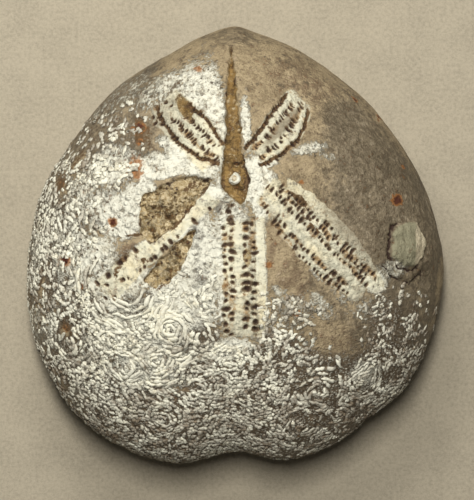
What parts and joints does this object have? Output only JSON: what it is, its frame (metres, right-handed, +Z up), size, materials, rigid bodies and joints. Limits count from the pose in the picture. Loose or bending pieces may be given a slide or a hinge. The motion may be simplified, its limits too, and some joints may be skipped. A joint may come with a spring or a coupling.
{
  "type": "fossil heart urchin",
  "caption": "Weathered stone test of a heart-shaped sea urchin, domed above and flat below, with sunken pore petals, a rear split and a front notch.",
  "frame": {"origin": "middle of the bounding box in X and Y, on the flat that the stone rests on", "axes": "+Z up from the resting flat to the crest, +Y to the pointed rear end, -Y to the notched front end"},
  "size_m": [0.0618, 0.065, 0.034],
  "materials": {
    "weathered_stone": "matt weathered limestone, chalky white silica skin with grey-brown gaps, tan patches, ochre sediment in the hollows and a few rust spots"
  },
  "bodies": {
    "root": {"urchin_stone": "weathered_stone"}
  },
  "joints": []
}
